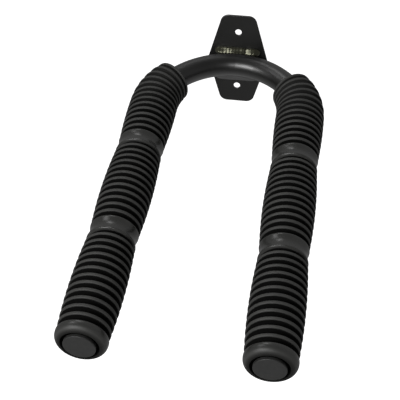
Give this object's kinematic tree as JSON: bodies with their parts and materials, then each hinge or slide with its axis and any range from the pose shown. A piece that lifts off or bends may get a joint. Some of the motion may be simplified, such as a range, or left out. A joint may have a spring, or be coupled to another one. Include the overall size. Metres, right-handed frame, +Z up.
{
  "type": "wall-mounted padded u bar",
  "caption": "U-shaped bent steel tube on a tapered wall plate, with a ribbed soft sleeve along each projecting arm and a round plug in each tube end.",
  "frame": {"origin": "centre of the wall plate's back face, midway between the two wall holes, in the wall's plane", "axes": "+Y into the wall, along the wall screws; +Z up, along the line of the two wall holes; +X to the right for someone facing the wall; the arms reach out along -Y and slope down by 8.4 degrees"},
  "size_m": [0.213, 0.418, 0.1362],
  "materials": {
    "black_paint": "satin black powder coat",
    "painted_weld": "glossy black paint over a rippled weld bead",
    "sleeve_rubber": "satin moulded rubber",
    "plug_plastic": "fine matte moulded plastic"
  },
  "bodies": {
    "root": {"u_tube": "black_paint", "wall_plate": "black_paint", "upper_weld_bead": "painted_weld", "lower_weld_bead": "painted_weld", "left_sleeve": "sleeve_rubber", "right_sleeve": "sleeve_rubber", "left_end_plug": "plug_plastic", "right_end_plug": "plug_plastic"}
  },
  "joints": []
}
